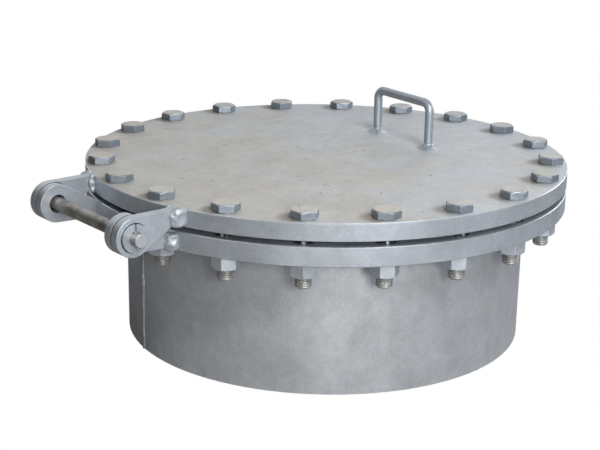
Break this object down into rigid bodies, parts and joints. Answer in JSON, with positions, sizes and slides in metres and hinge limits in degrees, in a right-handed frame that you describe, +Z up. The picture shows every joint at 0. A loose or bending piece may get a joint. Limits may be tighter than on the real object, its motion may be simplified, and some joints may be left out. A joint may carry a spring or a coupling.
{
  "type": "hinged bolted manway cover",
  "caption": "Round flanged tank manway neck with a blind cover bolted all round, a pinned side hinge and a bent-bar lifting handle.",
  "frame": {"origin": "on the neck's axis, in the plane of its foot where it is welded to the tank", "axes": "+Z up along the neck's axis, +X from the hinge towards the handle, +Y along the hinge pin"},
  "size_m": [0.839, 0.755, 0.3535],
  "materials": {
    "painted_cover": "satin",
    "painted_rim": "satin",
    "painted_neck": "satin",
    "painted_ear": "satin",
    "painted_handle": "satin",
    "painted_weld": "gloss",
    "painted_fastener": "satin",
    "bare_thread": "satin",
    "bare_pin_steel": "satin",
    "gasket_sheet": "matte"
  },
  "bodies": {
    "base": {"neck": "painted_neck", "neck_seam_weld": "painted_weld", "neck_flange": "painted_rim", "flange_outer_weld": "painted_weld", "flange_inner_weld": "painted_weld", "gasket": "gasket_sheet", "flange_ear_left": "painted_ear", "flange_ear_right": "painted_ear", "flange_ear_weld_left": "painted_weld", "flange_ear_weld_right": "painted_weld", "hex_nuts": "painted_fastener", "bolt_ends": "bare_thread"},
    "cover": {"cover_plate": "painted_cover", "cover_ear_left": "painted_ear", "cover_ear_right": "painted_ear", "cover_ear_weld_left": "painted_weld", "cover_ear_weld_right": "painted_weld", "handle": "painted_handle", "handle_weld_left": "painted_weld", "handle_weld_right": "painted_weld", "cover_bolts": "painted_fastener"},
    "pin": {"hinge_pin": "bare_pin_steel", "pin_washer_left": "painted_fastener", "pin_washer_right": "painted_fastener", "split_pin_left": "bare_thread", "split_pin_right": "bare_thread"}
  },
  "joints": [
    {"name": "cover_swing", "type": "hinge", "parent": "base", "child": "cover", "pos_m": [-0.4335, 0, 0.2455], "axis": [0, -1, 0], "range_deg": [0, 180]},
    {"name": "pin_spin", "type": "hinge", "parent": "base", "child": "pin", "pos_m": [-0.4335, 0, 0.2455], "axis": [0, 1, 0], "continuous": true}
  ]
}
